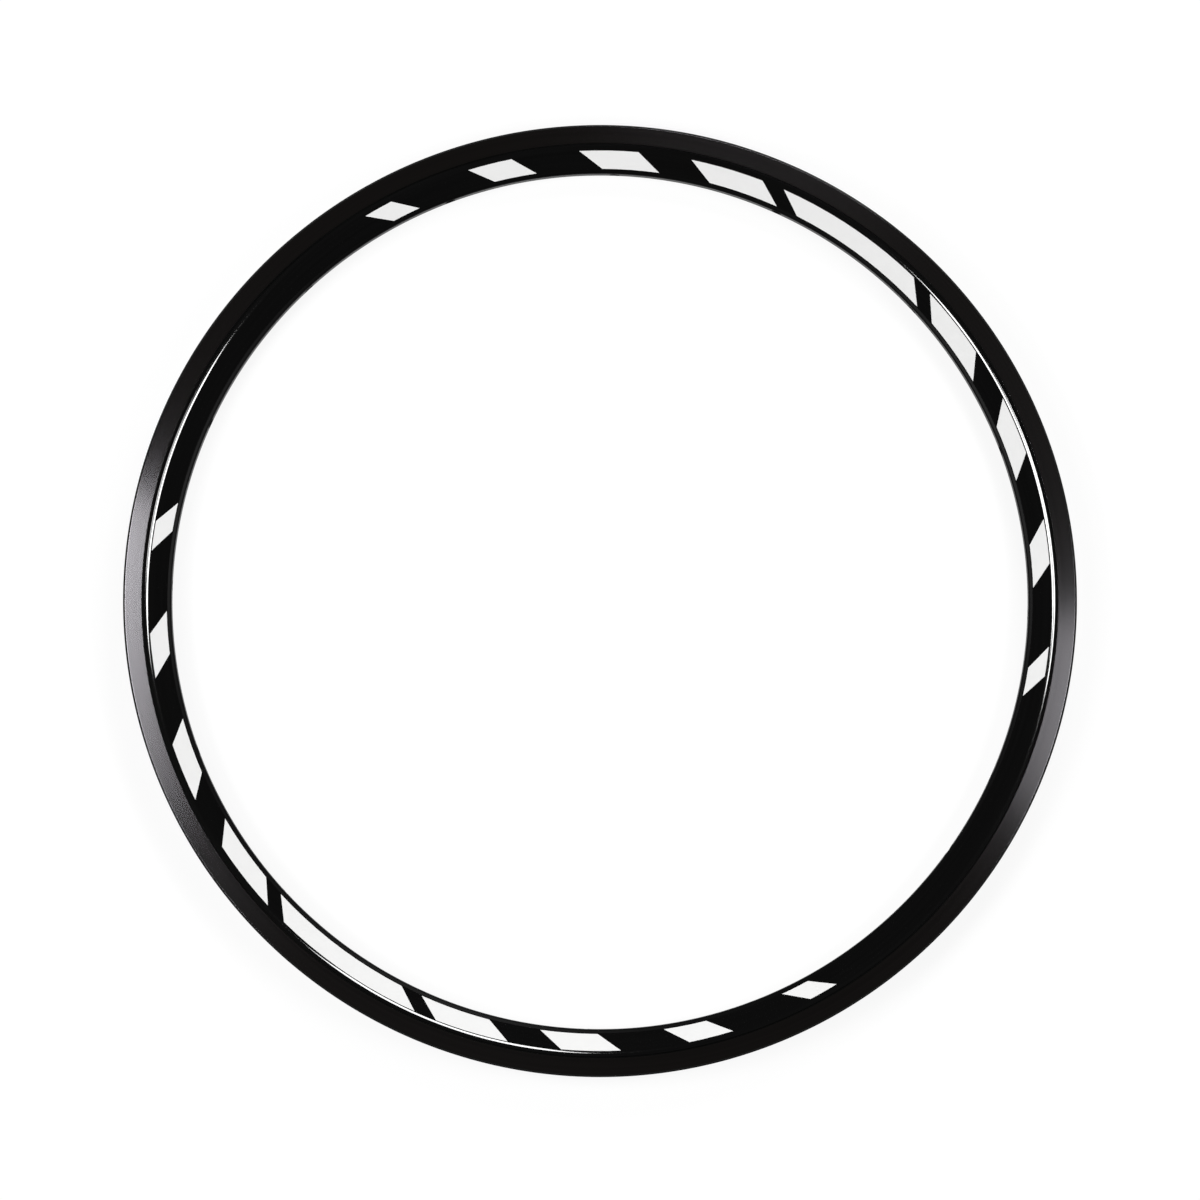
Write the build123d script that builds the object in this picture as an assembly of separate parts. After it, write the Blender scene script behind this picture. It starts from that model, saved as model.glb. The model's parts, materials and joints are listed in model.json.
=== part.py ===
from build123d import *
import os
from math import atan2, cos, radians, sin

# Bicycle rim for rim brakes, lying flat with its axle line along Z and its decals on top.
# A double-wall aluminium extrusion is rolled into a hoop, joined flush, machined on both
# brake tracks and drilled. The origin is the rim's centre on its mid-plane, and the valve
# hole lies on +X. Lengths are millimetres, angles are degrees.

# Hoop
bead_seat_diameter = 406.0
flange_height = 6.0
rim_width = 22.0
section_depth = 20.75

# Bead hooks and tyre bed
hook_gap = 17.0
hook_height = 2.0
bead_seat_width = 2.4
well_depth = 2.2
well_ramp = 2.0

# Brake track, shoulder and nose
track_height = 8.2
shoulder_width = 2.9
shoulder_drop = 0.7
nose_depth = 1.75
nose_width = 8.3
spoke_bed_width = 6.8

# Walls round the hollow
flange_wall = 1.6
tyre_bed_wall = 1.3
side_wall = 1.3
spoke_bed_wall = 3.0
spoke_bed_ridge = 0.4

# Drilling
spoke_count = 16
spoke_stagger = 0.6
nipple_hole_diameter = 4.5
valve_hole_diameter = 6.5

# Decals
decal_count = 2
first_decal_angle = 90.0
film_thickness = 0.12
glue_thickness = 0.05
film_margin = 0.3
film_lean = 10.0
centre_film_length = 68.0
film_pitch = 52.0
longest_film_length = 32.0
film_length_step = 6.4
films_each_side = 4

# Radii and half widths of the section, with r from the axle line and z from the mid-plane
seat_r = bead_seat_diameter / 2
outer_r = seat_r + flange_height
crown_r = outer_r - section_depth
track_r = outer_r - track_height
well_r = seat_r - well_depth
shoulder_r = track_r - shoulder_width
nose_r = crown_r + nose_depth
track_z = rim_width / 2
hook_z = hook_gap / 2
flange_z = track_z - flange_wall
seat_z = flange_z - bead_seat_width
well_z = seat_z - well_ramp
shoulder_z = track_z - shoulder_drop
nose_z = nose_width / 2
bed_z = spoke_bed_width / 2
film_inner_r = nose_r + film_margin
film_outer_r = shoulder_r - film_margin
film_r = (film_inner_r + film_outer_r) / 2

# The sidewall runs straight from its shoulder to the nose
wall_tilt = atan2(shoulder_z - nose_z, shoulder_r - nose_r)


def wall_point(r, outward):
    """The sidewall's half width at radius r, after the wall has moved outward along its normal."""
    along = (r - nose_r) * (shoulder_z - nose_z) / (shoulder_r - nose_r)
    return (r, nose_z + along + outward / cos(wall_tilt))


def ring(half):
    """A ring turned from the upper half of its section, mirrored about the mid-plane."""
    corners = half + [(r, -z) for r, z in reversed(half) if z > 0]
    outline = Polyline(*[(r, 0, z) for r, z in corners], close=True)
    return revolve(make_face(outline), Axis.Z)


def drill(diameter, angle, z, end_r):
    """A round cut along a radius, from well inside the hoop out to end_r."""
    outwards = Vector(cos(radians(angle)), sin(radians(angle)), 0)
    start_r = crown_r - section_depth
    plane = Plane(origin=outwards * start_r + Vector(0, 0, z), z_dir=outwards)
    return extrude(plane * Circle(diameter / 2), end_r - start_r)


def drills(hollow_r):
    """All the holes: the valve's through both beds, and a staggered one for each spoke into the hollow."""
    cuts = [drill(valve_hole_diameter, 0, 0, outer_r)]
    for spoke in range(spoke_count):
        angle = (spoke + 0.5) * 360 / spoke_count
        z = spoke_stagger if spoke % 2 == 0 else -spoke_stagger
        cuts.append(drill(nipple_hole_diameter, angle, z, hollow_r))
    return cuts


def rim_hoop():
    """The rolled extrusion: hooked flanges, brake tracks, sidewalls and two beds round a hollow."""
    outside = ring([
        (well_r, well_z),
        (seat_r, seat_z),
        (seat_r, flange_z),
        (outer_r - hook_height, hook_z),
        (outer_r, hook_z),
        (outer_r, track_z),
        (track_r, track_z),
        (shoulder_r, shoulder_z),
        (nose_r, nose_z),
        (crown_r, bed_z),
    ])
    ridge_r = crown_r + spoke_bed_wall
    roof_r = well_r - tyre_bed_wall
    hollow = ring([
        wall_point(roof_r, -side_wall),
        wall_point(ridge_r - spoke_bed_ridge, -side_wall),
        (ridge_r, 0),
    ])
    return outside - hollow - drills((ridge_r + roof_r) / 2)


def film_ring():
    """A whole ring of film over the upper sidewall."""
    under = glue_thickness
    over = glue_thickness + film_thickness
    lower = [wall_point(film_inner_r, under), wall_point(film_outer_r, under)]
    upper = [wall_point(film_outer_r, over), wall_point(film_inner_r, over)]
    outline = Polyline(*[(r, 0, z) for r, z in lower + upper], close=True)
    return revolve(make_face(outline), Axis.Z)


def film_end(angle):
    """The line of a film's slanted end, from well inside the film's inner edge to well past its outer one."""
    lean = film_lean / film_r / 2
    inner = Vector(film_inner_r * cos(angle - lean), film_inner_r * sin(angle - lean))
    outer = Vector(film_outer_r * cos(angle + lean), film_outer_r * sin(angle + lean))
    reach = (outer - inner).normalized() * section_depth
    return inner - reach, outer + reach


def film_block(middle, length):
    """An upright block over one film, from one slanted end to the other."""
    low_start, high_start = film_end(middle - length / film_r / 2)
    low_end, high_end = film_end(middle + length / film_r / 2)
    outline = Polyline(low_start, high_start, high_end, low_end, close=True)
    return extrude(make_face(outline), rim_width)


def decal(centre):
    """One decal: a long film in its middle and ever shorter ones at an even pitch to both sides."""
    films = [(0, centre_film_length)]
    for step in range(films_each_side):
        away = centre_film_length / 2 + (step + 0.5) * film_pitch
        length = longest_film_length - step * film_length_step
        films += [(away, length), (-away, length)]
    whole = film_ring()
    cut = []
    for away, length in films:
        cut += (whole & film_block(radians(centre) + away / film_r, length)).solids()
    return Compound(cut)


os.makedirs("parts", exist_ok=True)
export_step(rim_hoop(), "parts/rim_hoop.step")
for number in range(decal_count):
    centre = first_decal_angle + number * 360 / decal_count
    export_step(decal(centre), f"parts/decal_{number + 1}.step")
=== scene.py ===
import json
from math import cos, pi, radians, sin, tan

import bpy
import numpy as np
from mathutils import Matrix, Vector


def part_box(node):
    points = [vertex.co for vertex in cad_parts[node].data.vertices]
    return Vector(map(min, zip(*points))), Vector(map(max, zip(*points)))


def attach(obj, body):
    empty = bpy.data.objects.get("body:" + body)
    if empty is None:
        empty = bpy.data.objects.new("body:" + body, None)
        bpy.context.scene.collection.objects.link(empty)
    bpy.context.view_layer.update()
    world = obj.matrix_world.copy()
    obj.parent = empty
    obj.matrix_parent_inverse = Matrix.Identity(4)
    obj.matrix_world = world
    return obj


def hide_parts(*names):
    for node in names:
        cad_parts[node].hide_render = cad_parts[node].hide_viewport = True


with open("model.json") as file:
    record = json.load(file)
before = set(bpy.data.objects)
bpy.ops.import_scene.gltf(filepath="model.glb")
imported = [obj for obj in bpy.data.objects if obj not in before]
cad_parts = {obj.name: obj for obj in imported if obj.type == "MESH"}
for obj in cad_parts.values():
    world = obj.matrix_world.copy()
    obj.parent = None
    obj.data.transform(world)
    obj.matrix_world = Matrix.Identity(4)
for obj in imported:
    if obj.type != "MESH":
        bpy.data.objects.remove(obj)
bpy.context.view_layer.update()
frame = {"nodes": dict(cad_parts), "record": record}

# Rim hoop
# One hollow aluminium extrusion with hooked flanges, rolled into a ring, welded and machined flush.
# Dyed black, it is turned flat on both brake tracks, polished on its sidewalls, satin in the tyre channel and
# dull along its edges. The inner bed is drilled for nipples, the outer one to reach them, both for the valve.
mm = 0.001
hook_gap = 17.0 * mm
hook_height = 2.0 * mm
flange_wall = 1.6 * mm
bead_seat_width = 2.4 * mm
well_ramp = 2.0 * mm
track_height = 8.2 * mm
shoulder_width = 2.9 * mm
shoulder_drop = 0.7 * mm
nose_depth = 1.75 * mm
nose_width = 8.3 * mm
spoke_bed_width = 6.8 * mm
side_wall = 1.3 * mm
tyre_bed_wall = 1.3 * mm
spoke_bed_wall = 3.0 * mm
spoke_bed_ridge = 0.4 * mm

# Fine edges: the bevelled lip, the groove inside each track and the rounding of every corner
lip_bevel = 0.9 * mm
lip_drop = 1.1 * mm
groove_width = 0.7 * mm
groove_depth = 0.4 * mm
groove_step = 0.05 * mm
crest_slope = tan(radians(3))
well_round = 2.0 * mm
seat_round = 0.8 * mm
hook_round = 1.0 * mm
hook_edge_round = 0.6 * mm
lip_edge_round = 0.15 * mm
bevel_edge_round = 0.1 * mm
groove_edge_round = 0.06 * mm
groove_round = 0.15 * mm
shoulder_round = 4.6 * mm
nose_round = 2.0 * mm
spoke_bed_round = 1.2 * mm
roof_round = 0.8 * mm
hollow_corner_round = 0.6 * mm
ridge_round = 2.0 * mm

# Radii and half widths of the section, with r from the axle line and z from the mid-plane
mounts = {mount["name"]: mount for mount in frame["record"]["mounts"]}
spoke_holes = [mount for name, mount in mounts.items() if name.startswith("spoke_hole")]
valve_hole = mounts["valve_hole"]
valve_half_length = valve_hole["dims"]["length_mm"] / 2 * mm
outer_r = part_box("rim_hoop")[1].x
track_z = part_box("rim_hoop")[1].z
seat_r = mounts["tyre_bead_seat"]["dims"]["r_mm"] * mm
crown_r = valve_hole["pos_m"][0] - valve_half_length
well_r = valve_hole["pos_m"][0] + valve_half_length
hook_z = hook_gap / 2
hook_r = outer_r - hook_height
flange_z = track_z - flange_wall
seat_z = flange_z - bead_seat_width
well_z = seat_z - well_ramp
track_r = outer_r - track_height
shoulder_r = track_r - shoulder_width
shoulder_z = track_z - shoulder_drop
nose_r = crown_r + nose_depth
nose_z = nose_width / 2
bed_z = spoke_bed_width / 2
roof_r = well_r - tyre_bed_wall
ridge_r = crown_r + spoke_bed_wall

# The sidewall's line goes on past its shoulder, up to the crest, where it meets the line from the groove
wall_slope = (shoulder_z - nose_z) / (shoulder_r - nose_r)
groove_inner_r = track_r - groove_width
groove_inner_z = track_z - groove_step
crest_at_nose = groove_inner_z - (groove_inner_r - nose_r) * crest_slope
crest_r = nose_r + (crest_at_nose - nose_z) / (wall_slope - crest_slope)
crest_z = nose_z + (crest_r - nose_r) * wall_slope


def mirrored(half):
    """The whole section from its upper half, rows of (r, z, corner radius), mirrored about the mid-plane."""
    upper = np.array(half)
    lower = upper[::-1] * (1, -1, 1)
    return np.vstack([upper, lower[lower[:, 1] < 0]])


def rounded(corners, arc_points=7, run_end=0.03):
    """A closed outline through corners (r, z, radius). At each corner an arc turns from the run before it to
    the run after it, touching both. Each straight run has a point close to each end, which keeps it flat."""
    points, radius = corners[:, :2], corners[:, 2:]
    leaving = np.roll(points, -1, axis=0) - points
    leaving /= np.linalg.norm(leaving, axis=1, keepdims=True)
    coming = np.roll(leaving, 1, axis=0)
    left = np.stack([-coming[:, 1], coming[:, 0]], axis=1)
    turn = np.arctan2((left * leaving).sum(1), (coming * leaving).sum(1))[:, None]
    first = points - coming * radius * np.tan(np.abs(turn) / 2)
    centre = first + left * np.sign(turn) * radius
    swing = turn * np.linspace(0, 1, arc_points)
    arm = (first - centre)[:, None]
    across = np.stack([-arm[..., 1], arm[..., 0]], axis=-1)
    arcs = centre[:, None] + arm * np.cos(swing)[..., None] + across * np.sin(swing)[..., None]
    run = np.roll(arcs[:, 0], -1, axis=0) - arcs[:, -1]
    shares = np.array([run_end, 1 - run_end])
    ends = arcs[:, -1:] + run[:, None] * shares[:, None]
    return np.concatenate([arcs, ends], axis=1).reshape(-1, 2)


def turned(outline, around=360):
    """A ring: every point (r, z) of a closed outline is carried round the axle line in even steps."""
    angle = np.arange(around)[:, None] * 2 * pi / around
    r, z = outline.T
    vertices = np.stack([r * np.cos(angle), r * np.sin(angle), z + 0 * angle], axis=-1)
    here = np.arange(around * len(r)).reshape(around, len(r))
    beside = np.roll(here, -1, axis=0)
    faces = np.stack([here, beside, np.roll(beside, -1, axis=1), np.roll(here, -1, axis=1)], axis=-1)
    return vertices.reshape(-1, 3), [faces.reshape(-1, 4)]


def drilled(profile, holes, around=48):
    """Closed round cutters along radii: profile rows are (distance from the axle line, cutter radius). Each
    point is the distance along the hole's radius plus the cutter radius turned about it."""
    reach, radius = np.array(profile).T
    spin = np.arange(around) * 2 * pi / around
    place = np.array([hole["pos_m"] for hole in holes])
    outwards = place * (1, 1, 0)
    outwards /= np.linalg.norm(outwards, axis=1, keepdims=True)
    sideways = np.stack([-outwards[:, 1], outwards[:, 0], 0 * outwards[:, 0]], axis=1)
    upwards = np.array([0, 0, 1])
    turn = sideways[:, None] * np.cos(spin)[:, None] + upwards * np.sin(spin)[:, None]
    line = outwards[:, None] * reach[:, None] + upwards * place[:, None, 2:]
    vertices = line[:, :, None] + turn[:, None] * radius[:, None, None]
    here = np.arange(vertices.size // 3).reshape(vertices.shape[:3])
    beside = np.roll(here, -1, axis=2)
    sides = np.stack([here[:, :-1], beside[:, :-1], beside[:, 1:], here[:, 1:]], axis=-1).reshape(-1, 4)
    caps = np.concatenate([here[:, 0, ::-1], here[:, -1]])
    return vertices.reshape(-1, 3), [sides, caps]


def new_piece(name, *shells):
    """An object at the origin, its mesh made of shells, each with its vertices and its arrays of faces."""
    vertices, faces = [], []
    for shell_vertices, face_arrays in shells:
        for corners in face_arrays:
            faces += (corners + len(vertices)).tolist()
        vertices += shell_vertices.tolist()
    mesh = bpy.data.meshes.new(name)
    mesh.from_pydata(vertices, [], faces)
    piece = bpy.data.objects.new(name, mesh)
    bpy.context.scene.collection.objects.link(piece)
    return piece


def inner_wall_z(r):
    """Half the hollow's width at radius r: the sidewall's line, moved inwards by its thickness."""
    return nose_z + (r - nose_r) * wall_slope - side_wall * np.hypot(1, wall_slope)


outside = mirrored([
    (well_r, well_z, well_round),
    (seat_r, seat_z, seat_round),
    (seat_r, flange_z, seat_round),
    (hook_r, hook_z, hook_round),
    (outer_r, hook_z, hook_edge_round),
    (outer_r, track_z - lip_drop, lip_edge_round),
    (outer_r - lip_bevel, track_z, bevel_edge_round),
    (track_r, track_z, groove_edge_round),
    (track_r - groove_width / 2, track_z - groove_depth, groove_round),
    (groove_inner_r, groove_inner_z, groove_edge_round),
    (crest_r, crest_z, shoulder_round),
    (nose_r, nose_z, nose_round),
    (crown_r, bed_z, spoke_bed_round),
])
hollow_corner_r = ridge_r - spoke_bed_ridge
hollow = mirrored([
    (roof_r, inner_wall_z(roof_r), roof_round),
    (hollow_corner_r, inner_wall_z(hollow_corner_r), hollow_corner_round),
    (ridge_r, 0, ridge_round),
])
# The hollow's outline runs backwards, so that its faces point out of the metal
hoop = new_piece("hoop", turned(rounded(outside)), turned(rounded(hollow, arc_points=2)[::-1]))

# Cutters for the holes, each with a flare where it comes out of a bed
cutter_reach = 4.0 * mm
inner_flare = 0.25 * mm
outer_flare = 0.4 * mm
access_r = 4.0 * mm
nipple_r = spoke_holes[0]["dims"]["r_mm"] * mm
valve_r = valve_hole["dims"]["r_mm"] * mm
hollow_r = (roof_r + ridge_r) / 2


def inner_end(radius):
    """The end of a cutter of that radius through the inner bed."""
    return [
        (crown_r - cutter_reach, radius + inner_flare),
        (crown_r, radius + inner_flare),
        (crown_r + inner_flare, radius),
    ]


def outer_end(radius):
    """The end of a cutter of that radius through the outer bed."""
    return [
        (well_r - outer_flare, radius),
        (well_r, radius + outer_flare),
        (well_r + cutter_reach, radius + outer_flare),
    ]


cutters = new_piece(
    "cutters",
    drilled(inner_end(nipple_r) + [(hollow_r, nipple_r)], spoke_holes),
    drilled([(hollow_r, access_r)] + outer_end(access_r), spoke_holes),
    drilled(inner_end(valve_r) + outer_end(valve_r), [valve_hole]),
)
drilling = hoop.modifiers.new("drilling", "BOOLEAN")
drilling.operation = "DIFFERENCE"
drilling.solver = "EXACT"
drilling.object = cutters
hoop_mesh = bpy.data.meshes.new_from_object(hoop.evaluated_get(bpy.context.evaluated_depsgraph_get()))
hoop.modifiers.clear()
hoop.data = hoop_mesh
bpy.data.objects.remove(cutters)
sharp_edge = radians(35)
hoop_mesh.shade_smooth()
hoop_mesh.set_sharp_from_angle(angle=sharp_edge)


def new_material(name):
    """A node material, with its tree and its surface shader."""
    material = bpy.data.materials.new(name)
    material.use_nodes = True
    return material, material.node_tree, material.node_tree.nodes["Principled BSDF"]


def object_place(tree):
    """The place on the piece, in its own Object coordinates."""
    return tree.nodes.new("ShaderNodeTexCoord").outputs["Object"]


def scaled(tree, value, low, high):
    """The value, which runs from 0 to 1, spread over low to high."""
    spread = tree.nodes.new("ShaderNodeMapRange")
    spread.inputs["To Min"].default_value = low
    spread.inputs["To Max"].default_value = high
    tree.links.new(value, spread.inputs["Value"])
    return spread.outputs["Result"]


def mixed(tree, share, low, high):
    """A colour that goes from low to high with share."""
    blend = tree.nodes.new("ShaderNodeMix")
    blend.data_type = "RGBA"
    blend.inputs["A"].default_value = (*low, 1)
    blend.inputs["B"].default_value = (*high, 1)
    tree.links.new(share, blend.inputs["Factor"])
    return blend.outputs["Result"]


def bumped(tree, height, shader, depth):
    """Carries a height from 0 to 1 to the shader's normal as relief of that depth."""
    relief = tree.nodes.new("ShaderNodeBump")
    relief.inputs["Distance"].default_value = depth
    tree.links.new(height, relief.inputs["Height"])
    tree.links.new(relief.outputs["Normal"], shader.inputs["Normal"])


def streak_group():
    """Fine lines round the axle line, as rolling and turning leave them: noise that changes fast with the
    radius and the height and slowly with the angle, read as its cosine and sine so that it has no seam."""
    group = bpy.data.node_groups.new("ring_streaks", "ShaderNodeTree")
    group.interface.new_socket("Place", in_out="INPUT", socket_type="NodeSocketVector")
    group.interface.new_socket("Lines", in_out="INPUT", socket_type="NodeSocketFloat")
    group.interface.new_socket("Drift", in_out="INPUT", socket_type="NodeSocketFloat")
    group.interface.new_socket("Streak", in_out="OUTPUT", socket_type="NodeSocketFloat")
    nodes, links = group.nodes, group.links
    given = nodes.new("NodeGroupInput").outputs
    result = nodes.new("NodeGroupOutput").inputs

    def times(a, b):
        product = nodes.new("ShaderNodeMath")
        product.operation = "MULTIPLY"
        links.new(a, product.inputs[0])
        links.new(b, product.inputs[1])
        return product.outputs["Value"]

    parts = nodes.new("ShaderNodeSeparateXYZ")
    links.new(given["Place"], parts.inputs[0])
    flat = nodes.new("ShaderNodeCombineXYZ")
    links.new(parts.outputs["X"], flat.inputs["X"])
    links.new(parts.outputs["Y"], flat.inputs["Y"])
    radius = nodes.new("ShaderNodeVectorMath")
    radius.operation = "LENGTH"
    links.new(flat.outputs[0], radius.inputs[0])
    heading = nodes.new("ShaderNodeVectorMath")
    heading.operation = "NORMALIZE"
    links.new(flat.outputs[0], heading.inputs[0])
    bearing = nodes.new("ShaderNodeSeparateXYZ")
    links.new(heading.outputs["Vector"], bearing.inputs[0])
    where = nodes.new("ShaderNodeCombineXYZ")
    links.new(times(radius.outputs["Value"], given["Lines"]), where.inputs["X"])
    links.new(times(parts.outputs["Z"], given["Lines"]), where.inputs["Y"])
    links.new(times(bearing.outputs["X"], given["Drift"]), where.inputs["Z"])
    noise = nodes.new("ShaderNodeTexNoise")
    noise.noise_dimensions = "4D"
    noise.inputs["Scale"].default_value = 1
    noise.inputs["Detail"].default_value = 1
    links.new(where.outputs[0], noise.inputs["Vector"])
    links.new(times(bearing.outputs["Y"], given["Drift"]), noise.inputs["W"])
    links.new(noise.outputs[0], result["Streak"])
    return group


ring_streaks = streak_group()


def streaks(tree, lines, drift):
    """The streak value of the shared group, with its lines per metre and its changes round the ring."""
    streak_node = tree.nodes.new("ShaderNodeGroup")
    streak_node.node_tree = ring_streaks
    streak_node.inputs["Lines"].default_value = lines
    streak_node.inputs["Drift"].default_value = drift
    tree.links.new(object_place(tree), streak_node.inputs["Place"])
    return streak_node.outputs["Streak"]


anodise_ior = 2.2


def black_anodise(name, smoothest, roughest, specular):
    """Black anodising over a rolled extrusion, with faint lines that run round the ring."""
    deep_black = (0.001, 0.001, 0.001)
    soft_black = (0.003, 0.003, 0.003)
    line_depth = 0.002 * mm
    material, tree, shader = new_material(name)
    lines = streaks(tree, lines=900, drift=3)
    tree.links.new(mixed(tree, lines, deep_black, soft_black), shader.inputs["Base Color"])
    tree.links.new(scaled(tree, lines, smoothest, roughest), shader.inputs["Roughness"])
    bumped(tree, lines, shader, line_depth)
    shader.inputs["IOR"].default_value = anodise_ior
    shader.inputs["Specular IOR Level"].default_value = specular
    return material


def turned_track(name, smoothest, roughest):
    """A brake track turned on a lathe before it was dyed black: fine rings that draw each highlight out
    along the radius."""
    deep_black = (0.0025, 0.0021, 0.0018)
    soft_black = (0.005, 0.0042, 0.0036)
    cool_sheen = (0.97, 0.94, 1.0)
    line_depth = 0.001 * mm
    material, tree, shader = new_material(name)
    lines = streaks(tree, lines=1300, drift=0.8)
    tree.links.new(mixed(tree, lines, deep_black, soft_black), shader.inputs["Base Color"])
    tree.links.new(scaled(tree, lines, smoothest, roughest), shader.inputs["Roughness"])
    bumped(tree, lines, shader, line_depth)
    shader.inputs["IOR"].default_value = anodise_ior
    shader.inputs["Specular Tint"].default_value = (*cool_sheen, 1)
    shader.inputs["Anisotropic"].default_value = 0.85
    shader.inputs["Anisotropic Rotation"].default_value = 0.25
    around = tree.nodes.new("ShaderNodeTangent")
    around.direction_type = "RADIAL"
    around.axis = "Z"
    tree.links.new(around.outputs["Tangent"], shader.inputs["Tangent"])
    return material


hoop_mesh.materials.clear()
hoop_mesh.materials.append(black_anodise("dull_anodise", smoothest=0.3, roughest=0.42, specular=0.015))
hoop_mesh.materials.append(turned_track("turned_track", smoothest=0.114, roughest=0.142))
hoop_mesh.materials.append(black_anodise("polished_anodise", smoothest=0.05, roughest=0.08, specular=0.5))
hoop_mesh.materials.append(black_anodise("satin_anodise", smoothest=0.22, roughest=0.34, specular=0.5))

# Each face takes its finish by its place: 0 for the edges, 1 for a track, 2 for a sidewall, 3 for the channel
track_reach = 0.02 * mm
wall_reach = 2.0 * mm
dull_edge = 0.1 * mm
centres = np.zeros(len(hoop_mesh.polygons) * 3)
hoop_mesh.polygons.foreach_get("center", centres)
centres = centres.reshape(-1, 3)
face_r = np.hypot(centres[:, 0], centres[:, 1])
face_z = np.abs(centres[:, 2])
wall_floor = nose_z + (face_r - nose_r) * wall_slope - wall_reach
on_track = (face_r > track_r) & (face_r < outer_r - lip_bevel) & (face_z > track_z - track_reach)
on_wall = (face_r > nose_r) & (face_r < groove_inner_r - dull_edge) & (face_z > wall_floor)
in_channel = (face_r > roof_r) & (face_z < track_z - lip_drop)
finish = np.select([on_track, on_wall, in_channel], [1, 2, 3], default=0)
hoop_mesh.polygons.foreach_set("material_index", finish.astype(np.int32))
hoop_mesh.update()
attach(hoop, "root")
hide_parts("rim_hoop")

# Decals
# Two sets of white vinyl films, cut with slanted ends and stuck on the upper sidewall. Each set has a long
# film in its middle and ever shorter ones, evenly spaced, to both sides.


def white_vinyl(name, smoothest, roughest):
    """Smooth white film with a slight unevenness from the glue under it."""
    greyer_white = (0.89, 0.89, 0.885)
    clean_white = (0.93, 0.93, 0.925)
    unevenness = 0.004 * mm
    material, tree, shader = new_material(name)
    clouds = tree.nodes.new("ShaderNodeTexNoise")
    clouds.inputs["Scale"].default_value = 260
    clouds.inputs["Detail"].default_value = 3
    tree.links.new(object_place(tree), clouds.inputs["Vector"])
    cloudy = clouds.outputs[0]
    tree.links.new(mixed(tree, cloudy, greyer_white, clean_white), shader.inputs["Base Color"])
    tree.links.new(scaled(tree, cloudy, smoothest, roughest), shader.inputs["Roughness"])
    bumped(tree, cloudy, shader, unevenness)
    return material


vinyl = white_vinyl("white_vinyl", smoothest=0.28, roughest=0.4)
for name in ("decal_1", "decal_2"):
    film = frame["nodes"][name]
    film.data.materials.clear()
    film.data.materials.append(vinyl)

# Studio floor
# A pale paper sweep under the rim, flat for several metres and then rising with the square of the distance.
# It lies a hair below the rim, so that the two never share a plane. Sizes are metres.
floor_half = 9.0
flat_r = 5.0
rise = 1.3
corner_reach = 1.15
floor_lines = 91
floor_gap = 0.1 * mm
steps = np.linspace(-floor_half, floor_half, floor_lines)
floor_x, floor_y = np.meshgrid(steps, steps, indexing="ij")
past_flat = np.clip((np.hypot(floor_x, floor_y) - flat_r) / (floor_half - flat_r), 0, corner_reach)
floor_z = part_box("rim_hoop")[0].z - floor_gap + rise * past_flat ** 2
floor_points = np.stack([floor_x, floor_y, floor_z], axis=-1).reshape(-1, 3)
knot = np.arange(floor_x.size).reshape(floor_x.shape)
floor_faces = np.stack([knot[:-1, :-1], knot[1:, :-1], knot[1:, 1:], knot[:-1, 1:]], axis=-1)
floor = new_piece("floor", (floor_points, [floor_faces.reshape(-1, 4)]))
floor.data.shade_smooth()


def white_paper(name, grey, glow_strength):
    """White paper: a matt surface that takes the shadow, and an even glow that cameras and mirrors see."""
    material, tree, shader = new_material(name)
    tree.nodes.remove(shader)
    matt = tree.nodes.new("ShaderNodeBsdfDiffuse")
    matt.inputs["Color"].default_value = (grey, grey, grey, 1)
    path = tree.nodes.new("ShaderNodeLightPath")
    seen = path.outputs["Is Camera Ray"]
    for ray in ("Is Glossy Ray", "Is Transmission Ray"):
        either = tree.nodes.new("ShaderNodeMath")
        either.operation = "MAXIMUM"
        tree.links.new(seen, either.inputs[0])
        tree.links.new(path.outputs[ray], either.inputs[1])
        seen = either.outputs["Value"]
    glow = tree.nodes.new("ShaderNodeEmission")
    tree.links.new(scaled(tree, seen, 0, glow_strength), glow.inputs["Strength"])
    both = tree.nodes.new("ShaderNodeAddShader")
    tree.links.new(matt.outputs[0], both.inputs[0])
    tree.links.new(glow.outputs[0], both.inputs[1])
    tree.links.new(both.outputs[0], tree.nodes["Material Output"].inputs["Surface"])
    return material


floor.data.materials.append(white_paper("white_paper", grey=0.15, glow_strength=0.86))

# Camera
# It looks almost straight down the axle line, from a little towards the picture's bottom.
picture_turn = radians(35.7)
picture_right = Vector((cos(picture_turn), sin(picture_turn), 0))
picture_up = Vector((-sin(picture_turn), cos(picture_turn), 0))
axle = Vector((0, 0, 1))
camera_distance = 2.5
camera_tilt = radians(3.5)


def aimed(right, back, place):
    """The turn and place of a lamp or camera that looks along -back, with its own X along right."""
    turn = Matrix((right, back.cross(right), back)).transposed().to_4x4()
    return Matrix.Translation(place) @ turn


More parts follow.
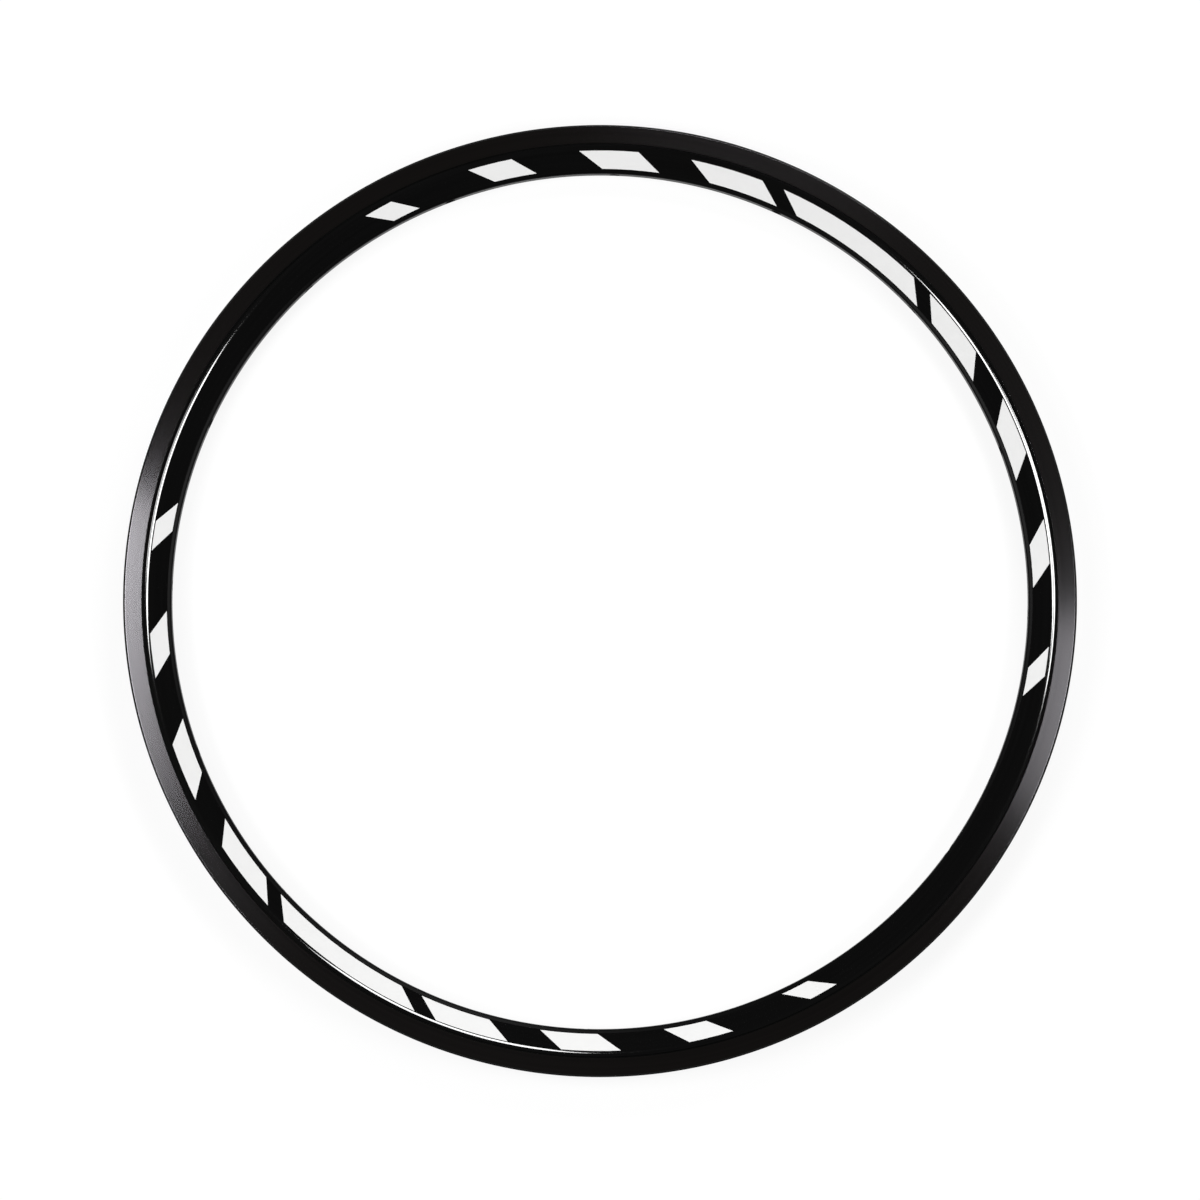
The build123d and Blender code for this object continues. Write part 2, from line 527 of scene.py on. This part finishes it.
lens = bpy.data.cameras.new("camera")
lens.sensor_width = 36
lens.lens = 170.5
camera = bpy.data.objects.new("camera", lens)
camera_back = axle * cos(camera_tilt) - picture_up * sin(camera_tilt)
camera.matrix_world = aimed(picture_right, camera_back, camera_back * camera_distance)
bpy.context.scene.collection.objects.link(camera)
bpy.context.scene.camera = camera

# Studio light
# Soft boxes to the picture's left, right and top, in an otherwise dark room. Angles are taken from the
# direction in which a flat track mirrors the camera, and bearings run clockwise from the picture's top.
lamp_distance = 1.5
room_grey = 0.015
mirrored_camera = axle * cos(camera_tilt) + picture_up * sin(camera_tilt)
mirrored_up = picture_up * cos(camera_tilt) - axle * sin(camera_tilt)


def soft_box(name, bearing, off_axis, side, width, height, watts):
    """A rectangular lamp that faces the rim, its height along its bearing and its width across it. A side
    of 1 or -1 moves it clockwise or back by half its width, so that one edge lies on the bearing."""
    outwards = picture_right * sin(radians(bearing)) + mirrored_up * cos(radians(bearing))
    clockwise = picture_right * cos(radians(bearing)) - mirrored_up * sin(radians(bearing))
    back = outwards * sin(radians(off_axis)) + mirrored_camera * cos(radians(off_axis))
    lamp = bpy.data.lights.new(name, "AREA")
    lamp.shape = "RECTANGLE"
    lamp.size = width
    lamp.size_y = height
    lamp.energy = watts
    box = bpy.data.objects.new(name, lamp)
    box.matrix_world = aimed(clockwise, back, back * lamp_distance + clockwise * width / 2 * side)
    bpy.context.scene.collection.objects.link(box)


soft_box("left_strip", bearing=283, off_axis=19, side=-1, width=0.34, height=0.26, watts=3.1)
soft_box("right_strip", bearing=92, off_axis=19, side=1, width=0.175, height=0.26, watts=0.65)
soft_box("left_box", bearing=252, off_axis=38.5, side=0, width=0.8, height=0.45, watts=12.2)
soft_box("right_box", bearing=102, off_axis=38.5, side=0, width=0.62, height=0.45, watts=9.6)
soft_box("top_box", bearing=20, off_axis=41, side=0, width=0.55, height=0.54, watts=8.2)

world = bpy.data.worlds.new("dark_room")
world.use_nodes = True
world.node_tree.nodes["Background"].inputs["Color"].default_value = (room_grey, room_grey, room_grey, 1)
bpy.context.scene.world = world
bpy.context.scene.view_settings.view_transform = "Standard"
